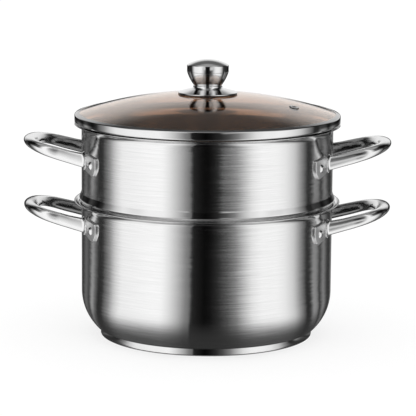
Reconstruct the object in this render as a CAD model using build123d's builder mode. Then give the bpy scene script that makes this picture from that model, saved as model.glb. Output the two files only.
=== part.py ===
"""Two-tier stainless steamer pot.

A stockpot with an encapsulated base carries a steamer insert with a perforated floor,
and a domed glass lid with a steel rim and a steel knob closes the top.

All lengths are millimetres. The origin is the centre of the base on the table, +Z is up,
the loop handles lie along X, and the front of the pot faces -Y.
"""

import os
from math import cos, pi, radians, sin, sqrt, tan

from build123d import *

os.makedirs("parts", exist_ok=True)


# Both tiers: one mouth size, one drawn sheet and one flared lip

mouth_radius = 140.0            # inside of the wall, a 28 cm pot
wall = 0.8                      # thickness of the drawn sheet
lip_reach = 8.2                 # how far the lip stands out from the wall
lip_bend = 7.4                  # bend of the flare, on its outer face
lip_edge_round = 0.3
wall_radius = mouth_radius + wall
lip_radius = wall_radius + lip_reach

# Pot

pot_height = 153.0              # table to the top of the lip
floor_height = 8.5              # underside of the drawn floor
belly_rise = 19.4               # from the floor to where the belly's slope would meet the wall
belly_reach = 18.8              # from the wall in to where that slope would meet the floor
belly_bend = 57.0
floor_bend = 8.0

capsule_step = 2.4              # from the foot of the belly's slope in to the base cap
capsule_sheet = 0.8
capsule_bend = 1.6
capsule_lean = 0.6              # how far the cap's side leans in at its top
core_gap = 0.1                  # between the aluminium disc and the cap's side

# Steamer

steamer_rise = 87.0             # from the pot's lip up to the steamer's
spigot_depth = 35.0             # from the pot's lip down to the perforated floor
steamer_floor_bend = 12.0
spigot_gap = 2.0                # between the spigot and the pot's wall
spigot_bend = 4.0
seat_angle = 20.0               # slope of the seat cone, from the vertical
seat_gap = 0.3                  # between the seat cone and the pot's lip
bead_reach = 2.7                # how far the bead stands out from the wall
bead_bend = 1.8
bead_cone_height = 6.6          # from the bead's edge up to the straight wall
bead_blend = 6.0

hole_radius = 4.5
hole_pitch = 22.5               # from one ring of holes to the next
hole_margin = 4.0               # flat floor left outside the last ring
holes_added_per_ring = 6

# Handles and rivets

pot_rivet_drop = 25.8           # from the pot's lip down to its rivets
steamer_rivet_drop = 40.0       # the same on the steamer
rivet_angle = 27.9              # rivet's place round the wall, from the X axis
handle_reach = 64.8             # from the wall to the outside of the grip
handle_tilt = 15.2              # rise of the loop, in degrees
arm_rise = 1.25                 # arm's line above the rivet, where it meets the wall
root_lift = 1.8                 # how far the flared root stands above that line
arm_from_rivet = 17.4           # from the rivet in to the arm's middle, along Y
arm_converge = 4.5              # how far each arm has come in where the rounded grip begins
grip_bend_length = 33.6         # length of the rounded grip along X
grip_round_share = 0.85         # power of the grip's outline: 1 is an ellipse, less is squarer
root_width, root_depth = 11.0, 17.4
arm_width, arm_depth = 11.0, 13.8
grip_width, grip_depth = 18.0, 10.8
root_bury = 4.0                 # length of arm that the wall's curve trims off
arm_stations = 3
grip_stations = 4

lug_thickness = 2.4
lug_fit = 0.05                  # between the lug and the wall
lug_corner_round = 2.0
lug_top, lug_outer_top, lug_outer_bottom, lug_bottom = 11.4, 9.0, -3.0, -12.0
lug_outer, lug_point, lug_shoulder, lug_slope_start, lug_inner = 12.3, 5.4, -7.0, -12.3, -23.0
lug_inner_top, lug_shoulder_bottom, lug_inner_bottom = 8.0, -8.7, -4.0

shank_radius = 2.5
shank_gap = 0.1                 # round the shank, in the wall and the lug
rivet_seat_gap = 0.05
rivet_dome_radius, rivet_dome_height = 4.7, 2.5
rivet_head_radius, rivet_head_thickness = 5.0, 1.2

# Lid

dome_radius = 460.0             # radius of the glass's outer face
glass_thickness = 4.0
glass_edge_round = 1.2
glass_bore_radius = 5.0
glass_fit = 0.1                 # between the glass and what holds it

band_sheet = 0.8
band_step = 0.3                 # how far the band lies inside the edge of the steamer's lip
band_fold_width = 5.1           # of the fold that lies on the glass
band_top_bend = 1.4
band_bottom_bend = 3.0
lid_seat_gap = 0.3              # between the band and the steamer's lip
skirt_gap = 1.2                 # between the skirt and the steamer's wall
skirt_depth = 7.0
skirt_bend = 1.6
seal_lip = 1.1                  # rubber round the edge of the glass
seal_height = 4.5               # from the band's ledge up to the underside of the glass
seal_width = 5.2

vent_distance = 101.6           # from the middle of the lid
vent_angle = -19.0              # from the X axis
vent_bore_radius = 2.4
vent_barrel_radius = 3.2
vent_hole_gap = 0.6             # round the barrel, in the glass
vent_flange_radius, vent_flange_thickness = 5.6, 0.9
vent_roll_radius, vent_roll_thickness = 5.0, 0.8
vent_gasket_radius, vent_gasket_thickness = 5.4, 1.0

# Knob

knob_radius = 23.3
knob_sheet = 0.9
cap_rise = 6.0                  # rise of the cap's dome
cap_side_height = 7.8           # from the seam to where the cap's side and dome would meet
cap_edge_round = 0.6
seam_groove = 0.4
cup_height = 15.2
cup_foot_radius = 15.6
cup_bulge = 0.75                # how far the cup's side bows out
cup_spigot_height = 3.0
cup_spigot_gap = 0.1
foot_round = 0.6

flange_radius = 33.4
flange_sheet = 1.2
flange_collar_radius = 16.2
flange_collar_height = 3.0
flange_neck_bend = 2.6
flange_rise = 4.5               # from the flange's edge up to the foot of its collar
flange_edge_height = 1.2
flange_rim_width = 5.4
upper_gasket_thickness = 0.65   # at its inner edge
flange_edge_round = 0.5
upper_gasket_overhang = 0.6     # how far the flange's edge covers the gasket

insert_radius, insert_length = 7.0, 12.0
insert_flange_radius, insert_flange_thickness = 12.0, 1.5
screw_radius = 2.5
screw_gap = 0.1
screw_engagement = 8.0
screw_head_radius, screw_head_height = 5.5, 3.2
screw_slot_width, screw_slot_depth = 1.2, 1.4
knob_washer_radius, knob_washer_thickness = 9.0, 1.2
lower_gasket_radius, lower_gasket_thickness = 11.0, 2.0

cut_overrun = 1.0


def save(part, name):
    """Label a finished piece and write its file."""
    part.label = name
    export_step(part, f"parts/{name}.step")


def sheet_section(points, bends, thickness):
    """Section of a bent sheet: its outer face follows the corners, its body lies to the left."""
    with BuildSketch(Plane.XZ) as section:
        with BuildLine():
            FilletPolyline(*points, radius=bends)
            offset(amount=thickness, side=Side.LEFT)
        make_face()
    return section.sketch


def rings(part):
    """Level circular edges of a piece, the narrowest first."""
    return part.edges().filter_by(GeomType.CIRCLE).filter_by(Plane.XY).sort_by(SortBy.RADIUS)


def radial_plane(angle, height):
    """Plane on the pot's axis that looks outwards along the given direction round the wall."""
    turn = radians(angle)
    return Plane(
        origin=(0, 0, height),
        x_dir=(-sin(turn), cos(turn), 0),
        z_dir=(cos(turn), sin(turn), 0),
    )


def dome_height(radius, depth=0.0):
    """Height of the glass's outer face, or of the face that lies the given depth under it."""
    return dome_centre_height + sqrt((dome_radius - depth) ** 2 - radius**2)


# Rivet places: one in front of the X axis and one behind it, on each side
steamer_height = pot_height + steamer_rise
rivet_heights = {
    "pot": pot_height - pot_rivet_drop,
    "steamer": steamer_height - steamer_rivet_drop,
}
rivet_angles = {
    "left": (180 - rivet_angle, 180 + rivet_angle),
    "right": (-rivet_angle, rivet_angle),
}


# Pot: drawn shell

pot_lip_underside = pot_height - wall
belly_foot_radius = wall_radius - belly_reach
pot_outline = [
    (0, floor_height),
    (belly_foot_radius, floor_height),
    (wall_radius, floor_height + belly_rise),
    (wall_radius, pot_lip_underside),
    (lip_radius, pot_lip_underside),
]

with BuildPart() as pot_shell:
    add(sheet_section(pot_outline, [floor_bend, belly_bend, lip_bend], wall))
    revolve(axis=Axis.Z)
    fillet(rings(pot_shell)[-2:], lip_edge_round)
    for angle in rivet_angles["left"] + rivet_angles["right"]:
        with BuildSketch(radial_plane(angle, rivet_heights["pot"])):
            Circle(shank_radius + shank_gap)
        extrude(amount=wall_radius + cut_overrun, mode=Mode.SUBTRACT)
save(pot_shell.part, "pot_shell")


# Pot: encapsulated base

capsule_radius = belly_foot_radius - capsule_step
capsule_outline = [
    (0, 0),
    (capsule_radius, 0),
    (capsule_radius - capsule_lean, floor_height),
]

with BuildPart() as base_capsule:
    add(sheet_section(capsule_outline, [capsule_bend], capsule_sheet))
    revolve(axis=Axis.Z)
save(base_capsule.part, "base_capsule")

core_radius = capsule_radius - capsule_lean - capsule_sheet - core_gap

with BuildPart() as base_core:
    with BuildSketch(Plane.XY.offset(capsule_sheet)):
        Circle(core_radius)
    extrude(amount=floor_height - capsule_sheet)
    fillet(rings(base_core).sort_by(Axis.Z)[0], capsule_bend)
save(base_core.part, "base_core")


# Steamer: drawn shell
# The seat cone under the bead touches a circle round the bend of the pot's lip.

lip_bend_centre = Vector(wall_radius + lip_bend, pot_lip_underside - lip_bend)
seat_slope = tan(radians(seat_angle))
seat_normal = Vector(-cos(radians(seat_angle)), sin(radians(seat_angle)))
seat_point = lip_bend_centre + seat_normal * (lip_bend + wall + seat_gap)
spigot_radius = mouth_radius - spigot_gap
spigot_top_height = seat_point.Y - (seat_point.X - spigot_radius) / seat_slope
bead_radius = wall_radius + bead_reach
bead_height = seat_point.Y + (bead_radius - seat_point.X) / seat_slope
steamer_lip_underside = steamer_height - wall
steamer_floor_height = pot_height - spigot_depth
hole_field_radius = spigot_radius - steamer_floor_bend - hole_margin - hole_radius
hole_rings = int(hole_field_radius / hole_pitch)

steamer_outline = [
    (0, steamer_floor_height),
    (spigot_radius, steamer_floor_height),
    (spigot_radius, spigot_top_height),
    (bead_radius, bead_height),
    (wall_radius, bead_height + bead_cone_height),
    (wall_radius, steamer_lip_underside),
    (lip_radius, steamer_lip_underside),
]
steamer_bends = [steamer_floor_bend, spigot_bend, bead_bend, bead_blend, lip_bend]

with BuildPart() as steamer_shell:
    add(sheet_section(steamer_outline, steamer_bends, wall))
    revolve(axis=Axis.Z)
    fillet(rings(steamer_shell)[-2:], lip_edge_round)
    with BuildSketch(Plane.XY.offset(steamer_floor_height - cut_overrun)):
        Circle(hole_radius)
        for ring in range(1, hole_rings + 1):
            with PolarLocations(ring * hole_pitch, ring * holes_added_per_ring):
                Circle(hole_radius)
    extrude(amount=wall + 2 * cut_overrun, mode=Mode.SUBTRACT)
    for angle in rivet_angles["left"] + rivet_angles["right"]:
        with BuildSketch(radial_plane(angle, rivet_heights["steamer"])):
            Circle(shank_radius + shank_gap)
        extrude(amount=wall_radius + cut_overrun, mode=Mode.SUBTRACT)
save(steamer_shell.part, "steamer_shell")


# Handles: a loop lofted through oval sections, with a lug at the end of each arm
# The loop lies in a plane that rises outwards. Its oval is tall where an arm meets the
# wall and turns wide and flat at the grip. Heights count from the rivets.

rise_share = tan(radians(handle_tilt))
arm_offset = wall_radius * sin(radians(rivet_angle)) - arm_from_rivet
grip_offset = arm_offset - arm_converge
arm_wall_x = sqrt(wall_radius**2 - arm_offset**2)
root_x = arm_wall_x - root_bury
grip_middle_x = wall_radius + handle_reach - grip_width / 2 * cos(radians(handle_tilt))
grip_start_x = grip_middle_x - grip_bend_length


def between(first, last, share):
    return first + (last - first) * share


def half_loop():
    """Middle, width and depth of the sections from one arm's root to the middle of the grip."""
    sections = []
    for step in range(arm_stations + 1):
        share = step / arm_stations
        x = between(root_x, grip_start_x, share)
        y = between(arm_offset, grip_offset, share)
        flare_share = (1 - share) ** 2
        z = arm_rise + (x - arm_wall_x) * rise_share + root_lift * flare_share
        width = between(arm_width, root_width, flare_share)
        depth = between(arm_depth, root_depth, flare_share)
        sections.append((Vector(x, y, z), width, depth))
    for step in range(1, grip_stations + 1):
        turn = pi / 2 * step / grip_stations
        x = grip_start_x + grip_bend_length * sin(turn) ** grip_round_share
        y = grip_offset * cos(turn) ** grip_round_share
        z = arm_rise + (x - arm_wall_x) * rise_share
        width = between(arm_width, grip_width, sin(turn))
        depth = between(arm_depth, grip_depth, sin(turn))
        sections.append((Vector(x, y, z), width, depth))
    return sections


half = half_loop()
loop = half + [
    (Vector(middle.X, -middle.Y, middle.Z), width, depth)
    for middle, width, depth in reversed(half[:-1])
]
loop_normal = Vector(-sin(radians(handle_tilt)), 0, cos(radians(handle_tilt)))

lug_corners = [
    (lug_inner, lug_inner_top),
    (lug_slope_start, lug_top),
    (lug_outer, lug_outer_top),
    (lug_outer, lug_outer_bottom),
    (lug_point, lug_bottom),
    (lug_shoulder, lug_shoulder_bottom),
    (lug_inner, lug_inner_bottom),
]

with BuildPart() as handle_lug:
    with BuildSketch(radial_plane(rivet_angle, 0)) as lug_outline:
        with BuildLine():
            Polyline(*lug_corners, close=True)
        make_face()
        fillet(lug_outline.vertices(), lug_corner_round)
        Circle(shank_radius + shank_gap, mode=Mode.SUBTRACT)
    extrude(amount=wall_radius + root_bury + lug_thickness)
    with BuildSketch(Plane.XY.offset(lug_bottom - cut_overrun)):
        Circle(wall_radius + lug_fit + lug_thickness)
        Circle(wall_radius + lug_fit, mode=Mode.SUBTRACT)
    extrude(amount=lug_top - lug_bottom + 2 * cut_overrun, mode=Mode.INTERSECT)

with BuildPart() as handle_blank:
    for index, (middle, width, depth) in enumerate(loop):
        before = loop[max(index - 1, 0)][0]
        after = loop[min(index + 1, len(loop) - 1)][0]
        along = (after - before).normalized()
        with BuildSketch(Plane(origin=middle, x_dir=along.cross(loop_normal), z_dir=along)):
            Ellipse(width / 2, depth / 2)
    loft()
    with BuildSketch(Plane.XY.offset(-root_depth)):
        Circle(wall_radius + lug_fit)
    extrude(amount=2 * root_depth, mode=Mode.SUBTRACT)
    add(handle_lug.part)
    add(mirror(handle_lug.part, about=Plane.XZ, mode=Mode.PRIVATE))

for tier, rivet_height in rivet_heights.items():
    for side, turn in (("left", 180), ("right", 0)):
        placed = handle_blank.part.moved(Location((0, 0, rivet_height), (0, 0, turn)))
        save(placed, f"{tier}_handle_{side}")


# Rivets: a flat head inside the wall, a shank, and a dome on the lug

rivet_head_seat = sqrt(mouth_radius**2 - rivet_head_radius**2) - rivet_seat_gap
rivet_dome_seat = wall_radius + lug_fit + lug_thickness + rivet_seat_gap
rivet_end = rivet_dome_seat + rivet_dome_height

for tier, rivet_height in rivet_heights.items():
    for side, angles in rivet_angles.items():
        with BuildPart() as rivets:
            for angle in angles:
                outward = radial_plane(angle, rivet_height)
                middle = outward.origin
                with BuildSketch(Plane(origin=middle, x_dir=outward.z_dir, z_dir=-outward.x_dir)):
                    with BuildLine():
                        Polyline(
                            (rivet_end, 0),
                            (rivet_head_seat - rivet_head_thickness, 0),
                            (rivet_head_seat - rivet_head_thickness, rivet_head_radius),
                            (rivet_head_seat, rivet_head_radius),
                            (rivet_head_seat, shank_radius),
                            (rivet_dome_seat, shank_radius),
                            (rivet_dome_seat, rivet_dome_radius),
                        )
                        TangentArc(
                            (rivet_end, 0),
                            (rivet_dome_seat, rivet_dome_radius),
                            tangent=(0, 1),
                        )
                    make_face()
                revolve(axis=Axis(middle, outward.z_dir))
        save(rivets.part, f"{tier}_rivets_{side}")


# Lid: glass
# The lid is built up from the steamer's lip: the band's ledge, the seal, then the glass.

band_radius = lip_radius - band_step
band_ledge_height = steamer_height + lid_seat_gap
glass_radius = band_radius - band_sheet - seal_lip - 2 * glass_fit
glass_rest_height = band_ledge_height + band_sheet + seal_height
dome_centre_height = glass_rest_height - sqrt((dome_radius - glass_thickness) ** 2 - glass_radius**2)

vent_hole_radius = vent_barrel_radius + vent_hole_gap
vent_turn = radians(vent_angle)
vent_point = Vector(
    vent_distance * cos(vent_turn), vent_distance * sin(vent_turn), dome_height(vent_distance)
)
dome_centre = Vector(0, 0, dome_centre_height)
vent_normal = (vent_point - dome_centre).normalized()
vent_across = Vector(-sin(vent_turn), cos(vent_turn), 0)


def dome_point(radius, depth=0.0):
    return (radius, dome_height(radius, depth))


with BuildPart() as lid_glass:
    with BuildSketch(Plane.XZ):
        with BuildLine():
            middle_radius = (glass_bore_radius + glass_radius) / 2
            ThreePointArc(
                dome_point(glass_bore_radius), dome_point(middle_radius), dome_point(glass_radius)
            )
            Line(dome_point(glass_radius), dome_point(glass_radius, glass_thickness))
            ThreePointArc(
                dome_point(glass_radius, glass_thickness),
                dome_point(middle_radius, glass_thickness),
                dome_point(glass_bore_radius, glass_thickness),
            )
            Line(dome_point(glass_bore_radius, glass_thickness), dome_point(glass_bore_radius))
        make_face()
    revolve(axis=Axis.Z)
    fillet(rings(lid_glass)[-2:], glass_edge_round)
    with BuildSketch(Plane(origin=vent_point, z_dir=vent_normal)):
        Circle(vent_hole_radius)
    extrude(amount=2 * glass_thickness, both=True, mode=Mode.SUBTRACT)
save(lid_glass.part, "lid_glass")


# Lid: folded steel rim with a skirt that drops into the steamer's mouth

skirt_radius = mouth_radius - skirt_gap
fold_cover = glass_fit + band_sheet
band_fold_radius = band_radius - band_fold_width
band_outline = [
    (skirt_radius, band_ledge_height - skirt_depth),
    (skirt_radius, band_ledge_height),
    (band_radius, band_ledge_height),
    (band_radius, dome_height(band_radius) + fold_cover),
    (band_fold_radius, dome_height(band_fold_radius) + fold_cover),
]

with BuildPart() as lid_rim_band:
    add(sheet_section(band_outline, [skirt_bend, band_bottom_bend, band_top_bend], band_sheet))
    revolve(axis=Axis.Z)
save(lid_rim_band.part, "lid_rim_band")

seal_outer_radius = band_radius - band_sheet - glass_fit
seal_inner_radius = seal_outer_radius - seal_width
seal_bottom_height = band_ledge_height + band_sheet + glass_fit
seal_slot_radius = glass_radius + glass_fit
seal_top_height = dome_height(glass_radius) - glass_edge_round
seal_depth = glass_thickness + glass_fit

with BuildPart() as lid_rim_seal:
    with BuildSketch(Plane.XZ) as seal_section:
        with BuildLine():
            Polyline(
                (seal_inner_radius, seal_bottom_height),
                (seal_outer_radius, seal_bottom_height),
                (seal_outer_radius, seal_top_height),
                (seal_slot_radius, seal_top_height),
                dome_point(seal_slot_radius, seal_depth),
                dome_point(seal_inner_radius, seal_depth),
                close=True,
            )
        make_face()
        bottom_corner = seal_section.vertices().group_by(Axis.Y)[0].sort_by(Axis.X)[-1]
        fillet(bottom_corner, band_bottom_bend - band_sheet)
    revolve(axis=Axis.Z)
save(lid_rim_seal.part, "lid_rim_seal")


# Lid: steam vent, a rolled eyelet with a soft washer under the glass
# Its sections are drawn as (distance from the eyelet's axis, height over the glass).

vent_plane = Plane(origin=vent_point, x_dir=vent_across, z_dir=vent_across.cross(vent_normal))
vent_axis = Axis(vent_point, vent_normal)
vent_gasket_bottom = -glass_thickness - glass_fit - vent_gasket_thickness
vent_roll_bottom = vent_gasket_bottom - vent_roll_thickness

with BuildPart() as vent_eyelet:
    with BuildSketch(vent_plane):
        with BuildLine():
            Polyline(
                (vent_bore_radius, vent_roll_bottom),
                (vent_roll_radius, vent_roll_bottom),
                (vent_roll_radius, vent_gasket_bottom),
                (vent_barrel_radius, vent_gasket_bottom),
                (vent_barrel_radius, glass_fit),
                (vent_flange_radius, glass_fit),
                (vent_flange_radius, glass_fit + vent_flange_thickness),
                (vent_bore_radius, glass_fit + vent_flange_thickness),
                close=True,
            )
        make_face()
    revolve(axis=vent_axis)
save(vent_eyelet.part, "vent_eyelet")

with BuildPart() as vent_gasket:
    with BuildSketch(vent_plane):
        with BuildLine():
            Polyline(
                (vent_barrel_radius, vent_gasket_bottom),
                (vent_gasket_radius, vent_gasket_bottom),
                (vent_gasket_radius, -glass_thickness - glass_fit),
                (vent_barrel_radius, -glass_thickness - glass_fit),
                close=True,
            )
        make_face()
    revolve(axis=vent_axis)
save(vent_gasket.part, "vent_gasket")


# Knob: domed cap over a tapered cup, screwed from inside the lid
# Its pieces stack up from the gasket on the glass.

rim_inner_radius = flange_radius - flange_rim_width
flange_bottom_height = dome_height(rim_inner_radius) + glass_fit + upper_gasket_thickness
flange_top_height = flange_bottom_height + flange_edge_height
flange_collar_foot = flange_top_height + flange_rise
cup_foot_height = flange_collar_foot + flange_collar_height
seam_height = cup_foot_height + cup_height
cap_edge_height = seam_height + cap_side_height
knob_top_height = cap_edge_height + cap_rise

with BuildPart() as knob_cap:
    with BuildSketch(Plane.XZ):
        with BuildLine():
            Line((knob_radius, seam_height), (knob_radius, cap_edge_height))
            TangentArc((0, knob_top_height), (knob_radius, cap_edge_height), tangent=(1, 0))
            offset(amount=knob_sheet, side=Side.LEFT)
        make_face()
    revolve(axis=Axis.Z)
    cap_rims = rings(knob_cap)[-2:].sort_by(Axis.Z)
    fillet(cap_rims[1], cap_edge_round)
    chamfer(cap_rims[0], seam_groove)
save(knob_cap.part, "knob_cap")

cup_inner_radius = knob_radius - knob_sheet
spigot_outer = cup_inner_radius - cup_spigot_gap
spigot_inner = spigot_outer - knob_sheet
screw_bore_radius = screw_radius + screw_gap
cup_floor_height = cup_foot_height + knob_sheet

with BuildPart() as knob_cup:
    with BuildSketch(Plane.XZ):
        with BuildLine():
            Polyline(
                (screw_bore_radius, cup_floor_height),
                (screw_bore_radius, cup_foot_height),
                (cup_foot_radius, cup_foot_height),
            )
            SagittaArc((cup_foot_radius, cup_foot_height), (knob_radius, seam_height), -cup_bulge)
            Polyline(
                (knob_radius, seam_height),
                (spigot_outer, seam_height),
                (spigot_outer, seam_height + cup_spigot_height),
                (spigot_inner, seam_height + cup_spigot_height),
                (spigot_inner, seam_height),
            )
            SagittaArc(
                (spigot_inner, seam_height),
                (cup_foot_radius - knob_sheet, cup_floor_height),
                cup_bulge,
            )
            Line(
                (cup_foot_radius - knob_sheet, cup_floor_height),
                (screw_bore_radius, cup_floor_height),
            )
        make_face()
    revolve(axis=Axis.Z)
    cup_foot_edge = rings(knob_cup).group_by(Axis.Z)[0].sort_by(SortBy.RADIUS)[-1]
    cup_seam_edge = rings(knob_cup)[-1]
    chamfer(cup_seam_edge, seam_groove)
    fillet(cup_foot_edge, foot_round)
save(knob_cup.part, "knob_cup")

flange_slope = flange_rise / (flange_radius - flange_collar_radius)
under_flange_height = flange_top_height + flange_slope * flange_rim_width - flange_sheet
inner_collar_radius = flange_collar_radius - flange_sheet
under_plate_height = cup_foot_height - flange_sheet
under_neck_height = flange_collar_foot - flange_sheet + flange_slope * flange_sheet

with BuildPart() as knob_flange:
    with BuildSketch(Plane.XZ):
        with BuildLine():
            Polyline(
                (screw_bore_radius, cup_foot_height),
                (flange_collar_radius, cup_foot_height),
                (flange_collar_radius, flange_collar_foot),
                (flange_radius, flange_top_height),
                (flange_radius, flange_bottom_height),
                (rim_inner_radius, flange_bottom_height),
                (rim_inner_radius, under_flange_height),
                (inner_collar_radius, under_neck_height),
                (inner_collar_radius, under_plate_height),
                (screw_bore_radius, under_plate_height),
                close=True,
            )
        make_face()
    revolve(axis=Axis.Z)
    collar_top = rings(knob_flange).group_by(Axis.Z)[-1].sort_by(SortBy.RADIUS)[-1]
    collar_foot = rings(knob_flange).group_by(Axis.Z)[-3].sort_by(SortBy.RADIUS)[-1]
    edge_rings = rings(knob_flange)[-2:]
    fillet(collar_foot, flange_neck_bend)
    fillet(collar_top, foot_round)
    fillet(edge_rings, flange_edge_round)
save(knob_flange.part, "knob_flange")

gasket_outer_radius = flange_radius - upper_gasket_overhang

with BuildPart() as knob_gasket_upper:
    with BuildSketch(Plane.XZ):
        with BuildLine():
            Polyline(
                (rim_inner_radius, dome_height(rim_inner_radius, -glass_fit)),
                (gasket_outer_radius, dome_height(gasket_outer_radius, -glass_fit)),
                (gasket_outer_radius, flange_bottom_height),
                (rim_inner_radius, flange_bottom_height),
                close=True,
            )
        make_face()
    revolve(axis=Axis.Z)
save(knob_gasket_upper.part, "knob_gasket_upper")

lower_gasket_top = dome_height(lower_gasket_radius, glass_thickness) - glass_fit
lower_gasket_bottom = lower_gasket_top - lower_gasket_thickness
sleeve_radius = glass_bore_radius - glass_fit

with BuildPart() as knob_gasket_lower:
    with BuildSketch(Plane.XY.offset(lower_gasket_bottom)):
        Circle(lower_gasket_radius)
        Circle(screw_bore_radius, mode=Mode.SUBTRACT)
    extrude(amount=lower_gasket_thickness)
    with BuildSketch(Plane.XY.offset(lower_gasket_top)):
        Circle(sleeve_radius)
        Circle(screw_bore_radius, mode=Mode.SUBTRACT)
    extrude(amount=dome_height(sleeve_radius) - lower_gasket_top)
save(knob_gasket_lower.part, "knob_gasket_lower")

with BuildPart() as knob_washer:
    with BuildSketch(Plane.XY.offset(lower_gasket_bottom - knob_washer_thickness)):
        Circle(knob_washer_radius)
        Circle(screw_bore_radius, mode=Mode.SUBTRACT)
    extrude(amount=knob_washer_thickness)
save(knob_washer.part, "knob_washer")

screw_seat_height = lower_gasket_bottom - knob_washer_thickness
screw_end_height = cup_floor_height + screw_engagement

with BuildPart() as knob_insert:
    with BuildSketch(Plane.XY.offset(cup_floor_height)):
        Circle(insert_flange_radius)
    extrude(amount=insert_flange_thickness)
    with BuildSketch(Plane.XY.offset(cup_floor_height)):
        Circle(insert_radius)
    extrude(amount=insert_length)
    with BuildSketch(Plane.XY.offset(cup_floor_height)):
        Circle(screw_bore_radius)
    extrude(amount=screw_engagement + screw_gap, mode=Mode.SUBTRACT)
save(knob_insert.part, "knob_insert")

with BuildPart() as knob_screw:
    with BuildSketch(Plane.XY.offset(screw_seat_height - screw_head_height)):
        Circle(screw_head_radius)
    extrude(amount=screw_head_height)
    fillet(knob_screw.edges().group_by(Axis.Z)[0], screw_slot_depth)
    with BuildSketch(Plane.XY.offset(screw_seat_height)):
        Circle(screw_radius)
    extrude(amount=screw_end_height - screw_seat_height)
    with BuildSketch(Plane.XY.offset(screw_seat_height - screw_head_height)):
        Rectangle(2 * screw_head_radius, screw_slot_width)
    extrude(amount=screw_slot_depth, mode=Mode.SUBTRACT)
save(knob_screw.part, "knob_screw")
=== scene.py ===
# %% [markdown]
# # A two-tier steamer pot
# The CAD model gives every size and place. This script dresses it: polished and brushed
# steel, amber glass and soft studio light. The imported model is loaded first, because every
# new piece rides on one of its bodies: the pot, the steamer or the lid.

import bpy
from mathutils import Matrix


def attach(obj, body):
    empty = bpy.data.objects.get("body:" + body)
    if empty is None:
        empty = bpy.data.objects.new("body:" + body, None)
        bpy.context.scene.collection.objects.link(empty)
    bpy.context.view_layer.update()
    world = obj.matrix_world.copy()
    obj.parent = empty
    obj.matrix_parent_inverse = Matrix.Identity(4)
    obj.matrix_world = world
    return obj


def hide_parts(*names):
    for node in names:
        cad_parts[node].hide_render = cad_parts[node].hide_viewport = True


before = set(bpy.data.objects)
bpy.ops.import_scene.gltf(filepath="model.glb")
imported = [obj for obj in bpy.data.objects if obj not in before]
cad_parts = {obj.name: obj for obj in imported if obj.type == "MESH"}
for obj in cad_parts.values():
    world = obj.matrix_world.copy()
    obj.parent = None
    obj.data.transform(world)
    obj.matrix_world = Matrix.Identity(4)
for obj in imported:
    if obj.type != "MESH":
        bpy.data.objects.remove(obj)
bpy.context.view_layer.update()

# %% [markdown]
# Blender works in metres, and the pot's drawing is in millimetres. The sizes below repeat
# the drawing, so a later cell can name a piece's corners in the units a pot maker would use.

# %% Sizes shared by several pieces
from math import atan2, ceil, cos, degrees, pi, radians, sin, sqrt, tan

import bmesh
import bpy
from mathutils import Matrix, Vector

MM = 0.001
MOUTH_RADIUS = 140.0
SHEET = 0.8
WALL_RADIUS = MOUTH_RADIUS + SHEET
LIP_RADIUS = WALL_RADIUS + 8.2
LIP_BEND = 7.4
LIP_EDGE = 0.3
POT_HEIGHT = 153.0
STEAMER_HEIGHT = POT_HEIGHT + 87.0
FLOOR_HEIGHT = 8.5
print("Outside of the wall:", 2 * WALL_RADIUS, "mm across")

# %% [markdown]
# ## Camera
# A product photo is taken from far away with a long lens, so that the pot keeps its straight
# sides. The camera stands 2.5 m off, looks down by ten degrees, and leans a little, because
# in the photograph the pot's right side sits slightly lower.

# %% Place the camera
CAMERA_DISTANCE = 2.5
CAMERA_SIDE = 0.0013
CAMERA_HEIGHT = 0.5874
CAMERA_TURN = radians(1.3)
CAMERA_PITCH = 0.17593
CAMERA_ROLL = radians(0.45)
SENSOR_MM = 36.0
FOCAL_PIXELS = 2254.2
FRAME_PIXELS = 416
FARTHEST = 50.0

lens = bpy.data.cameras.new("studio_camera")
lens.sensor_width = SENSOR_MM
lens.lens = FOCAL_PIXELS / FRAME_PIXELS * SENSOR_MM
lens.clip_end = FARTHEST
camera = bpy.data.objects.new("studio_camera", lens)
bpy.context.scene.collection.objects.link(camera)
camera.matrix_world = (
    Matrix.Rotation(CAMERA_TURN, 4, "Z")
    @ Matrix.Translation((CAMERA_SIDE, -CAMERA_DISTANCE, CAMERA_HEIGHT))
    @ Matrix.Rotation(pi / 2 - CAMERA_PITCH, 4, "X")
    @ Matrix.Rotation(CAMERA_ROLL, 4, "Z")
)
bpy.context.scene.camera = camera
bpy.context.scene.view_settings.view_transform = "Standard"
print("Lens:", round(lens.lens, 1), "mm")

# %% [markdown]
# ## Small helpers for node materials
# Each finish is a node tree. `feed` gives a node's input its value, `calc` adds a Math node,
# so that a formula reads in one line, `smooth_step` changes a value softly, and `place` gives
# the point's own coordinates.

# %% Node helpers
def new_material(name):
    """An empty node material: returns the material, its tree and its Principled shader."""
    material = bpy.data.materials.new(name)
    material.use_nodes = True
    return material, material.node_tree, material.node_tree.nodes["Principled BSDF"]


def feed(tree, socket, value):
    """Set an input to a number, or link it to another node's output."""
    if isinstance(value, (int, float)):
        socket.default_value = value
    else:
        tree.links.new(value, socket)


def calc(tree, operation, *values):
    """A Math node whose inputs are numbers or other nodes' outputs; returns its output."""
    node = tree.nodes.new("ShaderNodeMath")
    node.operation = operation
    for socket, value in zip(node.inputs, values):
        feed(tree, socket, value)
    return node.outputs[0]


def smooth_step(tree, value, start, end, low=0.0, high=1.0):
    """A soft change from low to high while the value goes from start to end."""
    node = tree.nodes.new("ShaderNodeMapRange")
    node.interpolation_type = "SMOOTHSTEP"
    labels = ("Value", "From Min", "From Max", "To Min", "To Max")
    for label, given in zip(labels, (value, start, end, low, high)):
        feed(tree, node.inputs[label], given)
    return node.outputs["Result"]


def place(tree):
    """The point's own x, y and z on the object, in metres."""
    coordinates = tree.nodes.new("ShaderNodeTexCoord")
    split = tree.nodes.new("ShaderNodeSeparateXYZ")
    tree.links.new(coordinates.outputs["Object"], split.inputs[0])
    return split.outputs

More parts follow.
